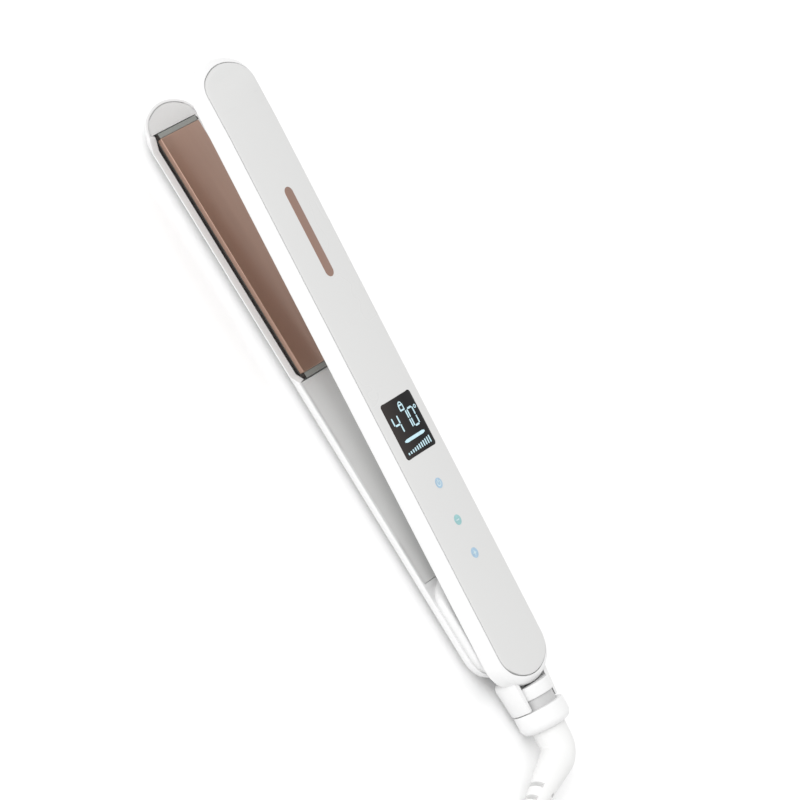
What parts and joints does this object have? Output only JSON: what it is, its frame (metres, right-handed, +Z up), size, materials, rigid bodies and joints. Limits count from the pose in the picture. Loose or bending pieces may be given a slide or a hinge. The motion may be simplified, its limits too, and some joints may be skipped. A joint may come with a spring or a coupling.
{
  "type": "hair straightener",
  "caption": "Handheld flat iron with slim arms hinged at the tail, floating heated plates, a display and keys on the upper arm, a swivel cord exit and a mains plug.",
  "frame": {"origin": "on the surface the iron lies on, under the middle of its bounding box without the cord", "axes": "+X from the tip to the cord end, +Y across, +Z up, the lower arm lying flat on z = 0"},
  "size_m": [0.4708, 0.06, 0.0415],
  "materials": {
    "shell_white": "satin moulded",
    "panel_grey": "soft sheen",
    "inner_white": "smooth moulded",
    "display_glass": "polished",
    "key_blue": "printed icon",
    "plate_rose": "satin ceramic coating",
    "holder_grey": "matte",
    "ceramic": "fired",
    "film": "film",
    "silicone": "matte",
    "board_green": "solder mask",
    "black_part": "moulded",
    "capacitor": "moulded",
    "steel": "bright",
    "brass": "bright",
    "bush": "matte",
    "lead_white": "braided sleeve",
    "lead_black": "smooth",
    "cord_white": "smooth",
    "tie_white": "matte"
  },
  "bodies": {
    "upper_arm": {"upper_housing": "shell_white", "top_panel": "panel_grey", "display_window": "display_glass", "display_module": "black_part", "circuit_board": "board_green", "power_triac": "black_part", "main_chip": "black_part", "smoothing_capacitor": "capacitor", "push_switches": "steel", "upper_inner_cover": "inner_white", "upper_cushions": "silicone", "supply_leads": "lead_black", "link_leads": "lead_white", "brush_contacts": "brass", "inner_cover_screws": "steel", "hinge_bushes": "bush"},
    "power_key": {"power_button": "key_blue"},
    "minus_key": {"minus_button": "key_blue"},
    "plus_key": {"plus_button": "key_blue"},
    "upper_plate_group": {"upper_plate": "plate_rose", "upper_plate_holder": "holder_grey", "upper_heater": "ceramic", "upper_insulation": "film", "thermal_fuse": "steel", "upper_heater_leads": "lead_white"},
    "lower_arm": {"lower_housing": "shell_white", "lower_inner_cover": "inner_white", "hinge_cover": "shell_white", "lower_cushions": "silicone", "lower_heater_leads": "lead_white", "hinge_pin": "steel", "opening_spring": "steel", "hinge_cover_screws": "steel"},
    "lower_plate_group": {"lower_plate": "plate_rose", "lower_plate_holder": "holder_grey", "lower_heater": "ceramic", "lower_insulation": "film", "heat_sensor": "black_part"},
    "swivel": {"swivel_hub": "shell_white", "slip_rings": "brass", "retaining_clip": "steel", "swivel_collar": "shell_white", "strain_relief": "cord_white", "cord_lead": "cord_white", "cord_hank": "cord_white", "cord_end": "cord_white", "cord_tie": "tie_white", "plug_body": "cord_white", "plug_blades": "brass"}
  },
  "joints": [
    {"name": "arm_hinge", "type": "hinge", "parent": "upper_arm", "child": "lower_arm", "pos_m": [0.1022, 0, 0.0096], "axis": [0, 1, 0], "range_deg": [0, 5.15], "stiffness_Nm_per_rad": 2, "springref_deg": -8.59},
    {"name": "cord_swivel", "type": "hinge", "parent": "upper_arm", "child": "swivel", "pos_m": [0.11713, 0, 0.01242], "axis": [0.9956, 0, -0.0934], "continuous": true},
    {"name": "upper_plate_float", "type": "slide", "parent": "upper_arm", "child": "upper_plate_group", "axis": [0.0934, 0, 0.9956], "range_m": [0, 0.001], "stiffness_N_per_m": 4000, "springref_m": -0.0004},
    {"name": "lower_plate_float", "type": "slide", "parent": "lower_arm", "child": "lower_plate_group", "axis": [0, 0, -1], "range_m": [0, 0.001], "stiffness_N_per_m": 4000, "springref_m": -0.0004},
    {"name": "power_press", "type": "slide", "parent": "upper_arm", "child": "power_key", "axis": [-0.0934, 0, -0.9956], "range_m": [0, 0.0004], "stiffness_N_per_m": 1500, "springref_m": -0.0001},
    {"name": "minus_press", "type": "slide", "parent": "upper_arm", "child": "minus_key", "axis": [-0.0934, 0, -0.9956], "range_m": [0, 0.0004], "stiffness_N_per_m": 1500, "springref_m": -0.0001},
    {"name": "plus_press", "type": "slide", "parent": "upper_arm", "child": "plus_key", "axis": [-0.0934, 0, -0.9956], "range_m": [0, 0.0004], "stiffness_N_per_m": 1500, "springref_m": -0.0001}
  ]
}
